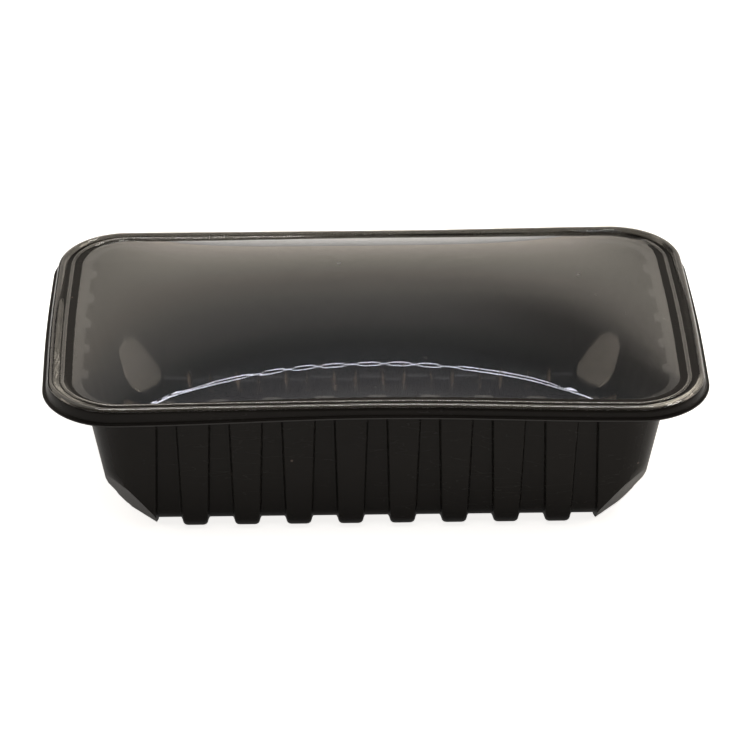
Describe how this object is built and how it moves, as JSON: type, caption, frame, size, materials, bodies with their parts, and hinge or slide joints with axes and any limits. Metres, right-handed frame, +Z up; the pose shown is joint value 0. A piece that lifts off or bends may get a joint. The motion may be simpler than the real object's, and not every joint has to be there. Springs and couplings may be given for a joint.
{
  "type": "plastic meat tray",
  "caption": "Deep black ribbed food tray with a turned-down rim, closed by a clear domed film.",
  "frame": {"origin": "middle of the footprint, on the surface that the feet stand on", "axes": "+X along the long sides, -Y out of the front long side, +Z up"},
  "size_m": [0.262, 0.15, 0.0774],
  "materials": {
    "black_sheet": "semi-gloss black thermoformed sheet",
    "clear_film": "clear glossy plastic film"
  },
  "bodies": {
    "root": {"tray": "black_sheet", "lid_film": "clear_film"}
  },
  "joints": []
}
